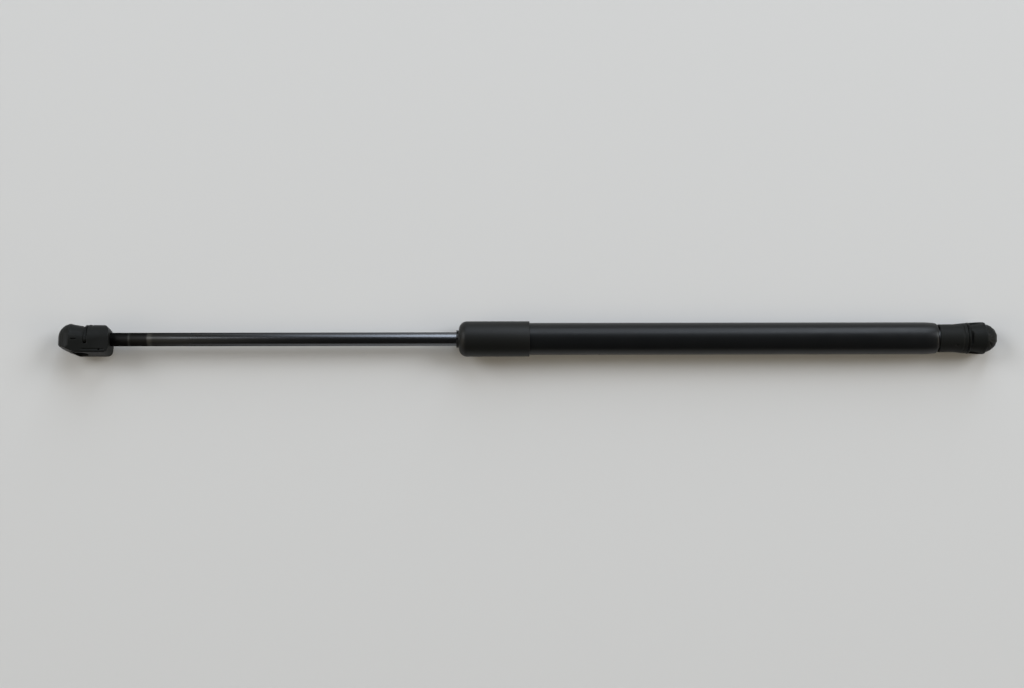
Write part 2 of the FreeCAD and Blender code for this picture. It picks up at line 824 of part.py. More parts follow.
def nose_groove_tool(name):
    """Slabs that fan out from the middle of the nose, less a smaller dome that stops their depth."""
    centre = "fitting_nose - fitting_nose_plan_radius"
    fan = new_body(name + "_fan")
    half = "nose_groove_width / 2"
    padded(
        fan,
        "XY_Plane",
        [
            ("0", f"-{half}"),
            ("fitting_nose_plan_radius * 2", f"-{half}"),
            ("fitting_nose_plan_radius * 2", half),
            ("0", half),
        ],
        "fitting_top * 4",
    )
    slab = fan.Tip
    pattern = fan.newObject("PartDesign::PolarPattern", name + "_fan_pattern")
    pattern.Originals = [slab]
    pattern.Axis = (origin_plane(fan, "Z_Axis"), [""])
    pattern.setExpression("Angle", bound("nose_groove_pitch * (nose_grooves - 1)"))
    pattern.setExpression("Occurrences", bound("nose_grooves"))
    fan.Tip = pattern
    fan.setExpression("Placement.Rotation.Yaw", bound("-nose_groove_pitch * (nose_grooves - 1) / 2"))
    dome = doc.addObject("Part::Sphere", name + "_dome")
    dome.setExpression("Radius", bound("fitting_nose_plan_radius - fitting_nose_crown - nose_groove_depth"))
    dome_height = "fitting_top - fitting_nose_plan_radius + fitting_nose_crown"
    dome.setExpression("Placement.Base.z", bound(dome_height))
    wall_radius = "fitting_nose_plan_radius - nose_groove_depth"
    wall = round_bar(name + "_wall", wall_radius, "-fitting_mouth * 2", dome_height, "z")
    middle = round_bar(name + "_middle", "nose_groove_start", "-fitting_mouth * 2", "fitting_mouth * 2", "z")
    for piece in (fan, dome, wall, middle):
        piece.setExpression("Placement.Base.x", bound(centre))
    return cut(name + "_grooves", fan, joined("MultiFuse", name + "_kept", [dome, wall, middle]))


def both_sides(name, start, end, inner, bottom, top):
    """Two blocks, one through each flank, from a half width outwards."""
    outer = "head_radius * 2"
    return [
        block(name + "_left", (start, inner, bottom), (end, outer, top)),
        block(name + "_right", (start, f"-{outer}", bottom), (end, f"-{inner}", top)),
    ]


def small_recesses(name):
    """Recesses of the mould: a groove along each flank, a pit in it, a slit and one place on the back."""
    groove_bottom = "-fitting_mouth + flank_groove_rise"
    groove_top = f"{groove_bottom} + flank_groove_height"
    return [
        *both_sides(
            name + "_flank_groove",
            "-flank_groove_back",
            "-flank_groove_front",
            "flank_groove_half_width",
            groove_bottom,
            groove_top,
        ),
        *both_sides(
            name + "_pit",
            "-pit_setback",
            "-pit_setback + pit_length",
            "pit_half_width",
            groove_bottom,
            groove_top,
        ),
        *both_sides(
            name + "_slit",
            "slit_start",
            "slit_start + slit_length",
            "slit_half_width",
            "-slit_drop",
            "-slit_drop + slit_height",
        ),
        block(
            name + "_back_recess",
            ("-back_recess_setback", "-back_recess_offset - back_recess_width", "back_recess_floor"),
            ("-back_recess_setback + back_recess_length", "-back_recess_offset", "fitting_mouth * 2"),
        ),
    ]


def socket_tools(name, face):
    """What the mould leaves open: ball seat, mouth, stud hole, clip slots, pocket and small recesses."""
    seat_ball = doc.addObject("Part::Sphere", name + "_seat_ball")
    seat_ball.setExpression("Radius", bound("ball_seat_radius"))
    seat = round_bar(name + "_seat", "ball_seat_radius", "-fitting_mouth", "0", "z")
    mouth = round_bar(
        name + "_mouth",
        "ball_seat_radius + mouth_ease",
        "-fitting_mouth * 2",
        "-fitting_mouth + mouth_depth",
        "z",
    )
    hole = round_bar(
        name + "_hole",
        "stud_radius + stud_gap",
        f"{face} - stud_length",
        f"{face} + stud_length + stud_hole_spare",
        "x",
    )
    slot_half = "(wire_radius + clip_slot_gap)"
    slot_start = f"-clip_setback - {slot_half}"
    slot_end = f"-clip_setback + {slot_half}"
    groove_side = "(clip_leg - wire_radius - clip_groove_gap)"
    groove_floor = "(clip_back - wire_radius - clip_groove_gap)"
    slot_bottom = "-clip_end_depth - wire_radius - clip_groove_gap"
    slot_top = "-clip_end_depth + clip_lift + wire_radius + clip_groove_gap"
    slot = block(
        name + "_slot",
        (slot_start, "-head_radius * 2", slot_bottom),
        (slot_end, "head_radius * 2", slot_top),
    )
    reliefs = [
        block(
            f"{name}_relief_{side}",
            (slot_start, low, slot_bottom),
            (slot_end, high, "-clip_end_depth + clip_lift + clip_relief_inset"),
        )
        for side, low, high in (
            ("left", "clip_leg - clip_relief_inset", "clip_leg"),
            ("right", "-clip_leg", "-clip_leg + clip_relief_inset"),
        )
    ]
    core = new_body(name + "_core")
    core_sketch = padded(
        core,
        "YZ_Plane",
        [
            (f"-{groove_side}", "-fitting_mouth * 2"),
            (groove_side, "-fitting_mouth * 2"),
            (groove_side, groove_floor),
            (f"-{groove_side}", groove_floor),
        ],
        "tube_fitting_face * 2",
    )
    dressed(core, "Fillet", core_sketch, (2, 3), "clip_back_bend - wire_radius - clip_groove_gap")
    band = block(
        name + "_band",
        (slot_start, "-head_radius * 2", slot_bottom),
        (slot_end, "head_radius * 2", "fitting_mouth * 2"),
    )
    groove = cut(name + "_groove", band, core)
    pocket = block(
        name + "_pocket",
        (slot_start, "-pocket_half_width", groove_floor),
        (f"{slot_end} + pocket_length", "pocket_half_width", "fitting_mouth * 2"),
    )
    tools = [seat_ball, seat, mouth, hole, slot, *reliefs, groove, pocket]
    return joined("MultiFuse", name + "_openings", [*tools, nose_groove_tool(name), *small_recesses(name)])


def make_socket(label, face, heel_round):
    """The moulded socket: the shape common to its three views, less its openings."""
    views = [side_form(label, face, heel_round), plan_form(label, face), section_form(label, face)]
    form = joined("MultiCommon", label + "_form", views)
    fitting = cut(label + "_part", form, socket_tools(label, face))
    fitting.Label = label
    return fitting


# Safety clip


def make_clip(label):
    """Bent wire: a bar across the back, two legs down the sides and two ends turned in under the ball."""
    body = new_body(label)
    foot = "-clip_end_depth"
    path = outline(
        body,
        "YZ_Plane",
        [
            (CLIP_END_REACH, foot),
            ("clip_leg", foot),
            ("clip_leg", "clip_back"),
            ("-clip_leg", "clip_back"),
            ("-clip_leg", foot),
            (f"-{CLIP_END_REACH}", foot),
        ],
        lift="-clip_setback",
        closed=False,
    )
    bends = ("clip_foot_bend", "clip_back_bend", "clip_back_bend", "clip_foot_bend")
    rounded_corners(path, [(side, side + 1, bend) for side, bend in enumerate(bends)])
    section = new_sketch(body, "XZ_Plane", f"-{CLIP_END_REACH}")
    section.addGeometry(Part.Circle(FreeCAD.Vector(0, 0, 0), FreeCAD.Vector(0, 0, 1), 1.0))
    pin_point(section, 0, 3, "-clip_setback", foot)
    section.addConstraint(Sketcher.Constraint("Radius", 0, 1.0))
    section.renameConstraint(2, "wire")
    section.setExpression("Constraints.wire", bound("wire_radius"))
    doc.recompute()
    pipe = body.newObject("PartDesign::AdditivePipe", label + "_wire")
    pipe.Profile = section
    pipe.Spine = (path, [f"Edge{number}" for number in range(1, len(path.Shape.Edges) + 1)])
    doc.recompute()
    return body


def place_on_rod(piece):
    """Turns a piece of the socket round to face the rod, rolls it and moves it to the rod's ball."""
    piece.Placement.Rotation = FreeCAD.Rotation(180, 0, 0)
    piece.setExpression("Placement.Rotation.Roll", bound("rod_fitting_roll"))
    piece.setExpression("Placement.Base.x", bound("-ball_to_ball"))
    return piece


PIECES = [
    make_pressure_tube(),
    make_protective_sleeve(),
    make_rod_wiper(),
    make_retaining_washer(),
    make_guide_bush(),
    make_o_ring("guide_o_ring", GUIDE_GROOVE),
    make_rod_seal(),
    make_seal_washer(),
    make_end_plug(),
    make_o_ring("plug_inner_o_ring", PLUG_GROOVES[0]),
    make_o_ring("plug_outer_o_ring", PLUG_GROOVES[1]),
    make_socket("tube_end_fitting", FACE, "tube_fitting_heel_round"),
    make_clip("tube_end_clip"),
    make_piston_ring(),
    make_piston_rod(),
    make_throttle_disc(),
    make_piston(),
    make_rivet_washer(),
    place_on_rod(make_socket("rod_end_fitting", "-rod_fitting_face", "rod_fitting_heel_round")),
    place_on_rod(make_clip("rod_end_clip")),
]
doc.recompute()

failed = [item.Label for item in doc.Objects if "Invalid" in item.State or "Error" in item.State]
failed += [piece.Label for piece in PIECES if piece.Shape.isNull() or not piece.Shape.isValid()]
if failed:
    raise SystemExit(f"failed: {failed}")

os.makedirs("parts", exist_ok=True)
for piece in PIECES:
    piece.Shape.exportStep(f"parts/{piece.Label}.step")
    box = piece.Shape.BoundBox
    print(
        f"{piece.Label}: {len(piece.Shape.Solids)} solid, {piece.Shape.Volume:.1f} mm3, "
        f"x {box.XMin:.2f} to {box.XMax:.2f}, y {box.YMin:.2f} to {box.YMax:.2f}, "
        f"z {box.ZMin:.2f} to {box.ZMax:.2f}"
    )
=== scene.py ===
# %% [markdown]
# A tailgate gas strut, lying on a pale floor with its rod fully out and seen from straight above. Everything
# that works is already in the imported frame: the tube, the rod, the sockets, their clips and joints. This
# lesson gives those pieces their looks. The frame is loaded first, because every later size comes from it.

# %% Loading the frame
import math

import bmesh
import bpy
from mathutils import Matrix, Vector


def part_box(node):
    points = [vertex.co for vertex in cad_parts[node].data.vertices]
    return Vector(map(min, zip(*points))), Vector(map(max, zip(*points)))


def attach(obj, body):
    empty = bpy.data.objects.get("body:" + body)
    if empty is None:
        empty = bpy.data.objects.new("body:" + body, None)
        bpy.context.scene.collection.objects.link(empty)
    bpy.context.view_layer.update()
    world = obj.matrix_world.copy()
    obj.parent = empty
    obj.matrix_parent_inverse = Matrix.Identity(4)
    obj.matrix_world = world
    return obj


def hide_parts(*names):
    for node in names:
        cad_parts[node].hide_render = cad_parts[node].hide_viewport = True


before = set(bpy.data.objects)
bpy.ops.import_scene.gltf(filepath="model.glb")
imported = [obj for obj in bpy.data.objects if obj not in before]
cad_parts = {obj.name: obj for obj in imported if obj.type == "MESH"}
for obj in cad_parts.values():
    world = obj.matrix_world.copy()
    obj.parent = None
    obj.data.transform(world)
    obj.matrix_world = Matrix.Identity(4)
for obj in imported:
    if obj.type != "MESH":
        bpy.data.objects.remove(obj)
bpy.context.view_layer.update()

MM = 0.001

# %% [markdown]
# The strut's axis is X, and the ball of the socket on the tube is at the origin. Each node's box says where a
# piece starts and ends, so a place is read from the frame instead of being typed in again. The rod's ball
# lies where the second clip is, and that socket is the first one turned round and rolled about the axis.

# %% Places taken from the frame
tube_low, tube_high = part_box("pressure_tube")
sleeve_low, sleeve_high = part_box("protective_sleeve")
rod_low, rod_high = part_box("piston_rod")
tube_socket_low, tube_socket_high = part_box("tube_end_fitting")
tube_clip_low, tube_clip_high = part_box("tube_end_clip")
rod_clip_low, rod_clip_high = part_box("rod_end_clip")
rod_socket_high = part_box("rod_end_fitting")[1]
wiper_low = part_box("rod_wiper")[0]

ball_to_ball = -(tube_clip_low.x + tube_clip_high.x + rod_clip_low.x + rod_clip_high.x) / 2
ROD_SOCKET_ROLL = math.radians(102.5)
to_rod_end = (
    Matrix.Translation((-ball_to_ball, 0, 0))
    @ Matrix.Rotation(math.pi, 4, "Z")
    @ Matrix.Rotation(ROD_SOCKET_ROLL, 4, "X")
)
print("ball to ball in mm:", round(ball_to_ball / MM, 2))

# %% [markdown]
# A few small helpers serve every material. Colours are written as sRGB hex values, as a paint chart or a
# colour picker gives them, and one function turns them to the linear values that a shader needs. Another adds
# a node to a tree: a socket among its values is linked, and anything else is set. The others give a colour
# ramp its stops, start an empty material, and turn a real size in millimetres to the scale of a pattern.

# %% Helpers for materials
def linear(hex_colour):
    """An sRGB hex colour as linear red, green, blue and alpha."""
    values = [int(hex_colour[place : place + 2], 16) / 255 for place in (1, 3, 5)]
    return [v / 12.92 if v <= 0.04045 else ((v + 0.055) / 1.055) ** 2.4 for v in values] + [1.0]


def add_node(tree, kind, values=(), **settings):
    """Adds a node with its settings. Its values go to inputs by identifier, linked if they are sockets."""
    node = tree.nodes.new(kind)
    for name, setting in settings.items():
        setattr(node, name, setting)
    for name, value in dict(values).items():
        socket = next(item for item in node.inputs if item.identifier == name)
        if isinstance(value, bpy.types.NodeSocket):
            tree.links.new(value, socket)
        else:
            socket.default_value = value
    return node


def set_stops(ramp, stops):
    """Gives a colour ramp its stops, each a place from 0 to 1 and a hex colour."""
    points = ramp.color_ramp.elements
    while len(points) < len(stops):
        points.new(1.0)
    for point, (place, hex_colour) in zip(points, stops):
        point.position = place
        point.color = linear(hex_colour)


def new_material(name):
    """An empty material with its surface shader, its tree and the object's own coordinates."""
    material = bpy.data.materials.new(name)
    material.use_nodes = True
    tree = material.node_tree
    shader = tree.nodes["Principled BSDF"]
    place = add_node(tree, "ShaderNodeTexCoord").outputs["Object"]
    return material, tree, shader, place


def per_mm(size):
    """Scale of a pattern whose features are this many millimetres apart."""
    return 1 / (size * MM)


print("white in linear values:", linear("#ffffff"))

# %% [markdown]
# The floor is a plain pale sheet. The strut lies on its sleeve, its thickest place, and on the flat of the
# tube's socket, so the floor touches both and is a fraction of a degree off the strut's axis. The strut
# itself keeps its own level frame, so it is the floor that tilts.

# %% Floor
FLOOR_SIZE = 3.6
FLOOR_SQUARES = 8
FLOOR_GAP = 0.02 * MM
FOOT_FROM_NOSE = 11.6 * MM
sleeve_radius = sleeve_high.z
foot_place = tube_socket_high.x - FOOT_FROM_NOSE
tilt = math.atan((tube_socket_low.z + sleeve_radius) / (foot_place - sleeve_high.x))

floor_shape = bmesh.new()
bmesh.ops.create_grid(
    floor_shape, x_segments=FLOOR_SQUARES, y_segments=FLOOR_SQUARES, size=FLOOR_SIZE / 2
)
under_sleeve = Matrix.Translation((sleeve_high.x, 0, -sleeve_radius - FLOOR_GAP))
place_floor = under_sleeve @ Matrix.Rotation(-tilt, 4, "Y")
bmesh.ops.transform(floor_shape, matrix=place_floor, verts=floor_shape.verts)
floor_mesh = bpy.data.meshes.new("floor")
floor_shape.to_mesh(floor_mesh)
floor_shape.free()
floor = bpy.data.objects.new("floor", floor_mesh)
bpy.context.scene.collection.objects.link(floor)
print("floor tilt in degrees:", round(math.degrees(tilt), 3))

# %% [markdown]
# Painted board is matt and even. It gets one pale grey, close to the value that the floor should show,
# because the lamps are set to a plain level at which a colour comes out about as it is written.

# %% Floor paint
floor_paint, _, shader, _ = new_material("matt_painted_board")
shader.inputs["Base Color"].default_value = linear("#cacac9")
shader.inputs["Roughness"].default_value = 0.9
shader.inputs["Specular IOR Level"].default_value = 0.2
floor_mesh.materials.append(floor_paint)
print(floor_paint.name, "on the floor")

# %% [markdown]
# The camera hangs a metre above the strut and looks straight down. Seen from there the strut fills most of
# the picture's width and runs very slightly uphill to the right, so the camera is rolled by that small angle.

# %% Camera
CAMERA_PLACE = Vector((-0.2731, -0.00298, 1.0))
CAMERA_ROLL = math.radians(-0.094)
CAMERA_WIDTH_ANGLE = math.radians(33.65)

camera_lens = bpy.data.cameras.new("camera")
camera_lens.sensor_fit = "HORIZONTAL"
camera_lens.angle = CAMERA_WIDTH_ANGLE
camera = bpy.data.objects.new("camera", camera_lens)
camera.location = CAMERA_PLACE
camera.rotation_euler = (0, 0, CAMERA_ROLL)
bpy.context.scene.collection.objects.link(camera)
bpy.context.scene.camera = camera
print("camera above the axis in m:", CAMERA_PLACE.z)

# %% [markdown]
# A black tube shows the room as much as itself, so the light decides most of the picture. A wide low window
# beyond the strut draws the bright line along the tube and the rod. It is built of panes, brightest on the
# right and dimmest on the left, because the line fades that way, and a faint sheet above them softens its
# lower edge. Large soft boxes to the left and right carry most of the light on the floor, outside what the
# tube mirrors, and two weak warm ones on the near side fill the shadow. Each lamp is given by its level, the
# brightness that it shows, with white as 1.

# %% Lamps
AIM = Vector((-0.27, 0, 0))
SKY = "#ebf4ff"
CLOUD = "#f2f6fc"
WARM_WALL = "#ffedce"
WINDOW_Y = 2.90
WINDOW_Z = 1.64
WINDOW_HEIGHT = 2.49
# Each pane has its start and end along X and its level.
WINDOW_PANES = ((0.33, 1.10, 6.0), (-0.32, 0.33, 2.6), (-0.84, -0.32, 3.2), (-1.42, -0.84, 1.3))
SHEET_CENTRE = (-0.10, 1.45, 2.62)
SHEET_WIDTH = 1.04
SHEET_HEIGHT = 1.17
SHEET_LEVEL = 0.6
# Each square lamp has its name, its place from the aim, its size, its level and its colour.
SQUARE_LAMPS = (
    ("left_box", (-3.2, 1.7, 2.6), 2.0, 6.7, CLOUD),
    ("right_box", (3.2, 1.7, 2.6), 2.0, 8.1, CLOUD),
    ("left_fill", (-3.0, -0.7, 1.6), 1.4, 2.0, WARM_WALL),
    ("right_fill", (3.0, -0.7, 1.6), 1.4, 2.0, WARM_WALL),
)


def soft_box(name, centre, width, height, level, hex_colour):
    """A rectangular lamp that faces the strut and looks as bright as its level."""
    lamp = bpy.data.lights.new(name, "AREA")
    lamp.shape = "RECTANGLE"
    lamp.size = width
    lamp.size_y = height
    lamp.energy = level * math.pi * width * height
    lamp.color = linear(hex_colour)[:3]
    holder = bpy.data.objects.new(name, lamp)
    holder.location = centre
    holder.rotation_euler = (AIM - Vector(centre)).to_track_quat("-Z", "Y").to_euler()
    bpy.context.scene.collection.objects.link(holder)
    print(name, "of", round(lamp.energy, 1), "W")


for number, (start, end, level) in enumerate(WINDOW_PANES):
    pane_centre = ((start + end) / 2, WINDOW_Y, WINDOW_Z)
    soft_box(f"pane_{number}", pane_centre, end - start, WINDOW_HEIGHT, level, SKY)
soft_box("sheet", SHEET_CENTRE, SHEET_WIDTH, SHEET_HEIGHT, SHEET_LEVEL, SKY)
for name, from_aim, size, level, hex_colour in SQUARE_LAMPS:
    soft_box(name, AIM + Vector(from_aim), size, size, level, hex_colour)

# %% [markdown]
# The rest of the room is the world. It is dark overhead, which keeps the top of the tube black, and pale near
# the horizon and towards both ends, so that the rims and the rounded ends stand out and other views have a
# pale backdrop. One smooth step grows with the height of a direction, a second falls off towards the ends,
# and their product picks the colour. The Standard view then shows each colour as it is, without a film curve.

# %% World
HORIZON = (0.01, 0.12)
ENDS = (0.38, 0.62)
PALE_WALLS = "#c7c1b5"
DARK_CEILING = "#282726"

world = bpy.data.worlds.new("room")
world.use_nodes = True
bpy.context.scene.world = world
tree = world.node_tree
direction = add_node(tree, "ShaderNodeTexCoord").outputs["Generated"]
parts = add_node(tree, "ShaderNodeSeparateXYZ", {"Vector": direction})
sideways = add_node(tree, "ShaderNodeMath", {"Value": parts.outputs["X"]}, operation="ABSOLUTE")
above = add_node(
    tree,
    "ShaderNodeMapRange",
    {"Value": parts.outputs["Z"], "From Min": HORIZON[0], "From Max": HORIZON[1]},
    interpolation_type="SMOOTHSTEP",
)
across = add_node(
    tree,
    "ShaderNodeMapRange",
    {
        "Value": sideways.outputs["Value"],
        "From Min": ENDS[0],
        "From Max": ENDS[1],
        "To Min": 1.0,
        "To Max": 0.0,
    },
    interpolation_type="SMOOTHSTEP",
)
overhead = add_node(
    tree,
    "ShaderNodeMath",
    {"Value": above.outputs["Result"], "Value_001": across.outputs["Result"]},
    operation="MULTIPLY",
)
room = add_node(tree, "ShaderNodeValToRGB", {"Fac": overhead.outputs["Value"]})
set_stops(room, [(0.0, PALE_WALLS), (1.0, DARK_CEILING)])
tree.links.new(room.outputs["Color"], tree.nodes["Background"].inputs["Color"])
bpy.context.scene.view_settings.view_transform = "Standard"
print("world:", world.name)

# %% [markdown]
# Round pieces are turned, so one helper serves them all. It draws the closed outline of a section in the
# plane above the axis, spins it a full turn about X and then rounds the rings that some corners drew with a
# bevel. That follows how the real ones are made: turned or rolled to a section, with a radius on each edge. A
# second helper finishes any piece: doubles merged, faces outwards, smooth shading with sharp edges kept, its
# material, and the body that carries it.

# %% Helpers for shapes
SPIN_STEPS = 144
MERGE = 0.001 * MM
SHARP = math.radians(32)


def on_ring(vert, x, radius):
    """Whether a vertex lies on the ring that a corner drew."""
    return abs(vert.co.x - x) < MERGE and abs(math.hypot(vert.co.y, vert.co.z) - radius) < MERGE


def spun(outline, rounds=(), steps=SPIN_STEPS):
    """Spins corners (place along X, radius) about X. A round is a corner's number, size and segments."""
    shape = bmesh.new()
    corners = [shape.verts.new((x, 0, radius)) for x, radius in outline]
    for first, second in zip(corners, corners[1:] + corners[:1]):
        shape.edges.new((first, second))
    bmesh.ops.spin(
        shape, geom=shape.verts[:] + shape.edges[:], axis=(1, 0, 0), cent=(0, 0, 0), angle=math.tau,
        steps=steps, use_merge=True,
    )
    bmesh.ops.remove_doubles(shape, verts=shape.verts, dist=MERGE)
    bmesh.ops.dissolve_degenerate(shape, edges=shape.edges, dist=MERGE)
    for corner, size, segments in rounds:
        x, radius = outline[corner]
        ring = [edge for edge in shape.edges if all(on_ring(vert, x, radius) for vert in edge.verts)]
        bmesh.ops.bevel(
            shape, geom=ring, offset=size, segments=segments, profile=0.5, affect="EDGES", material=-1,
            clamp_overlap=True,
        )
    return shape


def finished(name, shape, material, body, slot, *nodes):
    """Makes a mesh of the shape and hangs it on its body, in place of its nodes."""
    bmesh.ops.remove_doubles(shape, verts=shape.verts, dist=MERGE)
    bmesh.ops.recalc_face_normals(shape, faces=shape.faces)
    mesh = bpy.data.meshes.new(name)
    shape.to_mesh(mesh)
    shape.free()
    for polygon in mesh.polygons:
        polygon.use_smooth = True
    mesh.set_sharp_from_angle(angle=SHARP)
    mesh.materials.append(material)
    piece = bpy.data.objects.new(name, mesh)
    bpy.context.scene.collection.objects.link(piece)
    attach(piece, body)
    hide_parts(*nodes)
    print(name, "has", len(mesh.polygons), "faces")
    return piece


# %% [markdown]
# The tube is cold-drawn steel, stoved black at the factory: a thin semi-gloss baked paint. Its resin gives
# soft mirror lines that a fine orange peel breaks up, so the bump waves are about 1.6 mm apart and very low,
# and the roughness wanders a little where hands and rags have touched it.

# %% Tube paint
tube_paint, tree, shader, place = new_material("stoved_semi_gloss_paint")
peel = add_node(tree, "ShaderNodeTexNoise", {"Vector": place, "Scale": per_mm(1.6), "Detail": 2.0})
handling = add_node(tree, "ShaderNodeTexNoise", {"Vector": place, "Scale": per_mm(14), "Detail": 4.0})
gloss = add_node(
    tree, "ShaderNodeMapRange", {"Value": handling.outputs["Fac"], "To Min": 0.24, "To Max": 0.38}
)
relief = add_node(
    tree, "ShaderNodeBump", {"Height": peel.outputs["Fac"], "Strength": 0.12, "Distance": 0.05 * MM}
)
shader.inputs["Base Color"].default_value = linear("#111213")
shader.inputs["IOR"].default_value = 1.32
tree.links.new(gloss.outputs["Result"], shader.inputs["Roughness"])
tree.links.new(relief.outputs["Normal"], shader.inputs["Normal"])
print(tube_paint.name)

# %% [markdown]
# The tube's ends are rolled in over a washer and a plug, which leaves a round shoulder at each end. Towards
# the socket the wall also narrows by a hair before its shoulder, as rolling leaves it, so one more corner draws
# that slight taper. The section is spun with its inner wall. The bead behind the seals is under the sleeve,
# where it never shows, so it stays in the frame's own tube and isn't drawn again.

# %% Tube
TUBE_WALL = 1.0 * MM
TUBE_LIP = 3.1 * MM
TAPER_LENGTH = 6.0 * MM
TAPER_DROP = 0.6 * MM
TAPER_ROUND = 3.0 * MM
SHOULDER_ROUND = 1.6 * MM
INNER_ROUND = 0.6 * MM
tube_radius = tube_high.z
bore = tube_radius - TUBE_WALL
lip = tube_radius - TUBE_LIP
tube_outline = [
    (tube_low.x, lip),
    (tube_low.x, tube_radius),
    (tube_high.x - TAPER_LENGTH, tube_radius),
    (tube_high.x, tube_radius - TAPER_DROP),
    (tube_high.x, lip),
    (tube_high.x - TUBE_WALL, lip),
    (tube_high.x - TUBE_WALL, bore),
    (tube_low.x + TUBE_WALL, bore),
    (tube_low.x + TUBE_WALL, lip),
]
tube_rounds = [
    (1, SHOULDER_ROUND, 8),
    (2, TAPER_ROUND, 8),
    (3, SHOULDER_ROUND, 8),
    (6, INNER_ROUND, 4),
    (7, INNER_ROUND, 4),
]
tube_shape = spun(tube_outline, tube_rounds)
finished("painted_tube", tube_shape, tube_paint, "tube", "tube_paint", "pressure_tube")

# %% [markdown]
# The sleeve is polypropylene from a lightly sparked mould. That leaves a matt, grainy skin, with a broad dull
# sheen instead of a line. The grain is drawn at 0.5 mm, coarser than the real one, so that it shows at all.

# %% Sleeve plastic
sleeve_plastic, tree, shader, place = new_material("sparked_polypropylene")
grain = add_node(tree, "ShaderNodeTexNoise", {"Vector": place, "Scale": per_mm(0.5), "Detail": 3.0})
relief = add_node(
    tree, "ShaderNodeBump", {"Height": grain.outputs["Fac"], "Strength": 0.3, "Distance": 0.04 * MM}
)
shader.inputs["Base Color"].default_value = linear("#101110")
shader.inputs["Roughness"].default_value = 0.46
shader.inputs["IOR"].default_value = 1.31
tree.links.new(relief.outputs["Normal"], shader.inputs["Normal"])
print(sleeve_plastic.name)

# %% [markdown]
# A moulded sleeve covers the tube's rod end. Its front is one large quarter round down to a narrow flat face,
# and its rear edge is a plain step of the wall's thickness, eased a little so that it catches light.

# %% Sleeve
WIPER_RADIUS = 5.15 * MM
WIPER_GAP = 0.05 * MM
SLEEVE_GAP = 0.05 * MM
SLEEVE_FACE = 0.55 * MM
REAR_EDGE = 0.3 * MM
sleeve_hole = WIPER_RADIUS + WIPER_GAP
sleeve_inside = tube_radius + SLEEVE_GAP
front_round = sleeve_radius - sleeve_hole - SLEEVE_FACE
sleeve_outline = [
    (sleeve_low.x, sleeve_hole),
    (sleeve_low.x, sleeve_radius),
    (sleeve_high.x, sleeve_radius),
    (sleeve_high.x, sleeve_inside),
    (tube_low.x, sleeve_inside),
    (tube_low.x, sleeve_hole),
]
sleeve_shape = spun(sleeve_outline, [(1, front_round, 14), (4, SHOULDER_ROUND, 6), (2, REAR_EDGE, 3)])
finished("moulded_sleeve", sleeve_shape, sleeve_plastic, "tube", "sleeve_plastic", "protective_sleeve")

# %% [markdown]
# The rod is ground steel with a dark nitrided skin. Along most of its length it is polished by its seal and
# mirrors the window. Next to the socket it never enters the tube, so it stays dull: a matt black stretch, a
# pale worn ring, another dull stretch and a smeared ring, and then a grey that slowly clears towards the
# tube. Past that worn grey, the polished steel's colour keeps rising towards the tube. That rise is painted
# reflection: it makes the mirrored window line stronger there. One ramp along X holds those zones for the
# colour and another for the roughness. For a metal, Specular Tint is the colour of its edges, and the dark
# skin keeps them from turning bright, so it is set to grey.

# %% Rod steel
rod_steel, tree, shader, place = new_material("ground_nitrided_steel")
along = add_node(tree, "ShaderNodeSeparateXYZ", {"Vector": place}).outputs["X"]
zone = add_node(
    tree, "ShaderNodeMapRange", {"Value": along, "From Min": rod_socket_high.x, "From Max": wiper_low.x}
).outputs["Result"]
tint = add_node(tree, "ShaderNodeValToRGB", {"Fac": zone})
set_stops(
    tint,
    [
        (0.0, "#1c1c1c"),
        (0.052, "#1e1e1e"),
        (0.0555, "#3e3e3d"),
        (0.059, "#20201f"),
        (0.106, "#242424"),
        (0.110, "#4c4b49"),
        (0.1195, "#484745"),
        (0.123, "#363635"),
        (0.25, "#494a4b"),
        # Painted reflection: from the worn grey on, the colour rises towards the tube so that the mirrored line
        # brightens there.
        (0.55, "#636568"),
        (1.0, "#727478"),
    ],
)
dullness = add_node(tree, "ShaderNodeValToRGB", {"Fac": zone})
set_stops(
    dullness,
    [
        (0.0, "#c8c8c8"),
        (0.106, "#b8b8b8"),
        (0.123, "#a8a8a8"),
        (0.25, "#8a8a8a"),
        (0.6, "#828282"),
        (1.0, "#868686"),
    ],
)
grinding = add_node(
    tree, "ShaderNodeMapping", {"Vector": place, "Scale": (per_mm(0.25), per_mm(9), per_mm(9))}
)
lines = add_node(
    tree, "ShaderNodeTexNoise", {"Vector": grinding.outputs["Vector"], "Scale": 1.0, "Detail": 3.0}
)
relief = add_node(
    tree, "ShaderNodeBump", {"Height": lines.outputs["Fac"], "Strength": 0.08, "Distance": 0.01 * MM}
)
shader.inputs["Metallic"].default_value = 1.0
shader.inputs["Specular Tint"].default_value = linear("#8a8a8a")
tree.links.new(tint.outputs["Color"], shader.inputs["Base Color"])
tree.links.new(dullness.outputs["Color"], shader.inputs["Roughness"])
tree.links.new(relief.outputs["Normal"], shader.inputs["Normal"])
print(rod_steel.name)

# %% [markdown]
# The rod is one turned bar: a stub that screws into the socket, the ground shank, and a thin journal whose
# end is riveted over behind the piston.

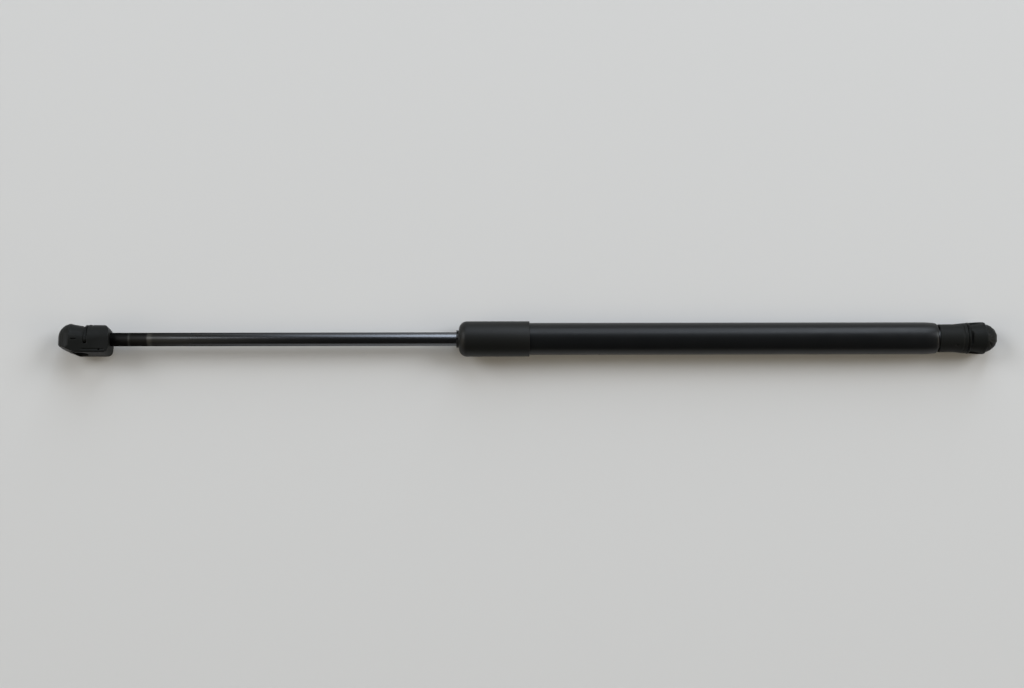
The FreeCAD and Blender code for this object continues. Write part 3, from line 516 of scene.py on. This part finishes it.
# %% Rod
ROD_STEPS = 96
STUB_LENGTH = 10.0 * MM
STUB_RADIUS = 3.0 * MM
STUB_EDGE = 0.7 * MM
SHANK_EDGE = 0.3 * MM
JOURNAL_RADIUS = 2.5 * MM
RIVET_RADIUS = 3.5 * MM
RIVET_HEIGHT = 1.3 * MM
RIVET_ROUND = 0.9 * MM
rod_radius = rod_high.z
journal_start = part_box("throttle_disc")[0].x
rivet_face = rod_high.x - RIVET_HEIGHT
shank_start = rod_low.x + STUB_LENGTH
rod_outline = [
    (rod_low.x, 0),
    (rod_low.x, STUB_RADIUS),
    (shank_start, STUB_RADIUS),
    (shank_start, rod_radius),
    (journal_start, rod_radius),
    (journal_start, JOURNAL_RADIUS),
    (rivet_face, JOURNAL_RADIUS),
    (rivet_face, RIVET_RADIUS),
    (rod_high.x, RIVET_RADIUS),
    (rod_high.x, 0),
]
rod_shape = spun(rod_outline, [(1, STUB_EDGE, 1), (3, SHANK_EDGE, 2), (8, RIVET_ROUND, 5)], ROD_STEPS)
finished("ground_rod", rod_shape, rod_steel, "rod", "rod_steel", "piston_rod")

# %% [markdown]
# The sockets are moulded from black glass-filled nylon. The short glass strands near the skin make it
# slightly mottled, with a satin sheen, and edges that are never quite sharp.

# %% Socket nylon
socket_nylon, tree, shader, place = new_material("glass_filled_nylon")
strands = add_node(tree, "ShaderNodeTexNoise", {"Vector": place, "Scale": per_mm(0.6), "Detail": 4.0})
flow = add_node(tree, "ShaderNodeTexNoise", {"Vector": place, "Scale": per_mm(5), "Detail": 3.0})
gloss = add_node(tree, "ShaderNodeMapRange", {"Value": flow.outputs["Fac"], "To Min": 0.42, "To Max": 0.54})
relief = add_node(
    tree, "ShaderNodeBump", {"Height": strands.outputs["Fac"], "Strength": 0.35, "Distance": 0.05 * MM}
)
shader.inputs["Base Color"].default_value = linear("#161716")
shader.inputs["IOR"].default_value = 1.2
tree.links.new(gloss.outputs["Result"], shader.inputs["Roughness"])
tree.links.new(relief.outputs["Normal"], shader.inputs["Normal"])
print(socket_nylon.name)

# %% [markdown]
# The socket's shape is all in the frame, but its edges there are machine-sharp, and a moulding's never are.
# So a copy of the node is merged, rebuilt as an even skin of small voxels and smoothed, which rounds every
# edge alike, as the mould does. The grooves over the nose are cut deep in the frame and have washed out to
# faint marks on the real socket. A block with the nose's own outline, a little smaller, therefore joins the
# copy before it is rebuilt, and the nose is smoothed some more. The copy keeps the node's place and size.

# %% Sockets
VOXEL = 0.2 * MM
SMOOTH_ROUNDS = 3
NOSE_START = 7.0 * MM
NOSE_ROUNDS = 14
CORE_START = 8.0 * MM
CORE_SCALE = 0.96


def beyond(shape, distance):
    """The vertices that lie further out than a distance past their ball."""
    return [vert for vert in shape.verts if not -ball_to_ball - distance < vert.co.x < distance]


def smooth(shape, verts, rounds):
    """Smooths some vertices a number of times."""
    for _ in range(rounds):
        bmesh.ops.smooth_vert(
            shape, verts=verts, factor=0.5, use_axis_x=True, use_axis_y=True, use_axis_z=True
        )


def add_nose_core(shape):
    """Adds a slightly smaller block with the nose's outline, so that its grooves end up shallow."""
    core = bmesh.new()
    for vert in beyond(shape, CORE_START):
        core.verts.new(vert.co)
    hull = bmesh.ops.convex_hull(core, input=core.verts[:])
    spare = set(hull["geom_interior"] + hull["geom_unused"])
    inside = [item for item in spare if isinstance(item, bmesh.types.BMVert)]
    bmesh.ops.delete(core, geom=inside, context="VERTS")
    centre = Vector()
    for axis in range(3):
        places = [vert.co[axis] for vert in core.verts]
        centre[axis] = (min(places) + max(places)) / 2
    bmesh.ops.scale(core, vec=[CORE_SCALE] * 3, space=Matrix.Translation(-centre), verts=core.verts)
    block = bpy.data.meshes.new("nose_core")
    core.to_mesh(block)
    core.free()
    shape.from_mesh(block)
    bpy.data.meshes.remove(block)


def soft_copy(node):
    """A merged copy of a node, rebuilt in voxels and smoothed, as a bmesh."""
    shape = bmesh.new()
    shape.from_mesh(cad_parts[node].data)
    bmesh.ops.remove_doubles(shape, verts=shape.verts, dist=MERGE)
    add_nose_core(shape)
    mesh = bpy.data.meshes.new(node + "_copy")
    shape.to_mesh(mesh)
    shape.free()
    copy = bpy.data.objects.new(node + "_copy", mesh)
    bpy.context.scene.collection.objects.link(copy)
    skin = copy.modifiers.new("skin", "REMESH")
    skin.mode = "VOXEL"
    skin.voxel_size = VOXEL
    skin.use_smooth_shade = True
    depsgraph = bpy.context.evaluated_depsgraph_get()
    rebuilt = bpy.data.meshes.new_from_object(copy.evaluated_get(depsgraph))
    bpy.data.objects.remove(copy)
    shape = bmesh.new()
    shape.from_mesh(rebuilt)
    smooth(shape, shape.verts, SMOOTH_ROUNDS)
    smooth(shape, beyond(shape, NOSE_START), NOSE_ROUNDS)
    return shape


for end in ("tube", "rod"):
    node = end + "_end_fitting"
    finished(end + "_end_socket", soft_copy(node), socket_nylon, end, "fitting_nylon", node)

# %% [markdown]
# The clips are hard-drawn spring wire, blackened by a film of oxide. The film is part of the metal, so the
# wire still reflects as a metal does, but darkly and a little dull, and hardly stands out in its slot.

# %% Clip wire
clip_wire, tree, shader, place = new_material("oxidised_spring_wire")
film = add_node(tree, "ShaderNodeTexNoise", {"Vector": place, "Scale": per_mm(2), "Detail": 4.0})
gloss = add_node(tree, "ShaderNodeMapRange", {"Value": film.outputs["Fac"], "To Min": 0.4, "To Max": 0.6})
shader.inputs["Base Color"].default_value = linear("#1e1f1f")
shader.inputs["Metallic"].default_value = 1.0
tree.links.new(gloss.outputs["Result"], shader.inputs["Roughness"])
print(clip_wire.name)

# %% [markdown]
# A clip is one length of wire bent four times: across the back, down both sides, and in under the ball at
# each end. It is drawn the way it is bent: a round face at one end is pushed out along each straight and spun
# round the centre of each bend. The second clip is the same wire, moved to the rod's ball.

# %% Clips
WIRE_RADIUS = 0.9 * MM
WIRE_SIDES = 24
BEND_STEPS = 10
CLIP_PLACE = -4.5 * MM
CLIP_LEG = 8.3 * MM
CLIP_BACK = 7.6 * MM
CLIP_FOOT = -3.0 * MM
CLIP_REACH = 2.48 * MM
FOOT_BEND = 1.8 * MM
BACK_BEND = 7.6 * MM


def bent_wire():
    """The wire clip about the tube's ball, as a bmesh."""
    shape = bmesh.new()
    first_end = Matrix.Translation((CLIP_PLACE, -CLIP_REACH, CLIP_FOOT))
    facing_out = first_end @ Matrix.Rotation(math.pi / 2, 4, "X")
    bmesh.ops.create_circle(
        shape, cap_ends=True, segments=WIRE_SIDES, radius=WIRE_RADIUS, matrix=facing_out
    )
    end = shape.faces[:]

    def push(y, z):
        """Pushes the end face out along a straight."""
        moved = bmesh.ops.extrude_face_region(shape, geom=end)["geom"]
        verts = [item for item in moved if isinstance(item, bmesh.types.BMVert)]
        bmesh.ops.translate(shape, verts=verts, vec=(0, y, z))
        bmesh.ops.delete(shape, geom=end, context="FACES_ONLY")
        end[:] = [item for item in moved if isinstance(item, bmesh.types.BMFace)]

    def bend(y, z):
        """Spins the end face a quarter turn round the centre of a bend."""
        spun_end = bmesh.ops.spin(
            shape, geom=end, axis=(-1, 0, 0), cent=(CLIP_PLACE, y, z), angle=math.pi / 2, steps=BEND_STEPS
        )["geom_last"]
        end[:] = [item for item in spun_end if isinstance(item, bmesh.types.BMFace)]

    push(-(CLIP_LEG - FOOT_BEND - CLIP_REACH), 0)
    bend(-(CLIP_LEG - FOOT_BEND), CLIP_FOOT + FOOT_BEND)
    push(0, CLIP_BACK - BACK_BEND - CLIP_FOOT - FOOT_BEND)
    bend(-(CLIP_LEG - BACK_BEND), CLIP_BACK - BACK_BEND)
    push(2 * (CLIP_LEG - BACK_BEND), 0)
    bend(CLIP_LEG - BACK_BEND, CLIP_BACK - BACK_BEND)
    push(0, -(CLIP_BACK - BACK_BEND - CLIP_FOOT - FOOT_BEND))
    bend(CLIP_LEG - FOOT_BEND, CLIP_FOOT + FOOT_BEND)
    push(-(CLIP_LEG - FOOT_BEND - CLIP_REACH), 0)
    return shape


for end, matrix in (("tube", Matrix.Identity(4)), ("rod", to_rod_end)):
    wire = bent_wire()
    bmesh.ops.transform(wire, matrix=matrix, verts=wire.verts)
    finished(end + "_end_wire_clip", wire, clip_wire, end + "_clip", "clip_steel", end + "_end_clip")

# %% [markdown]
# What is inside never shows, but each node still gets the finish of its real material, so that the strut can
# be opened or cut away later. Four finishes cover them, each the same small recipe with its own colour and
# texture.

# %% Inner pieces
# Each finish has its colour, metallic, roughness and the spacing of its texture in millimetres.
INNER_FINISHES = {
    "turned_steel": ("#b9babb", 1.0, 0.3, 0.4),
    "turned_brass": ("#c9a45a", 1.0, 0.32, 0.4),
    "moulded_nitrile_rubber": ("#1c1c1c", 0.0, 0.6, 0.7),
    "turned_filled_polymer": ("#b4b2aa", 0.0, 0.45, 0.5),
}
INNER_NODES = {
    "turned_steel": [
        "retaining_washer", "seal_washer", "end_plug", "throttle_disc", "piston", "rivet_washer"
    ],
    "turned_brass": ["guide_bush"],
    "moulded_nitrile_rubber": [
        "guide_o_ring", "rod_seal", "plug_inner_o_ring", "plug_outer_o_ring", "rod_wiper"
    ],
    "turned_filled_polymer": ["piston_ring"],
}
for name, (hex_colour, metallic, roughness, texture_mm) in INNER_FINISHES.items():
    finish, tree, shader, place = new_material(name)
    texture = add_node(
        tree, "ShaderNodeTexNoise", {"Vector": place, "Scale": per_mm(texture_mm), "Detail": 3.0}
    )
    gloss = add_node(
        tree,
        "ShaderNodeMapRange",
        {"Value": texture.outputs["Fac"], "To Min": roughness * 0.8, "To Max": roughness * 1.2},
    )
    shader.inputs["Base Color"].default_value = linear(hex_colour)
    shader.inputs["Metallic"].default_value = metallic
    tree.links.new(gloss.outputs["Result"], shader.inputs["Roughness"])
    for node in INNER_NODES[name]:
        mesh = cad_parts[node].data
        mesh.materials.clear()
        mesh.materials.append(finish)
    print(name, "on", len(INNER_NODES[name]), "nodes")
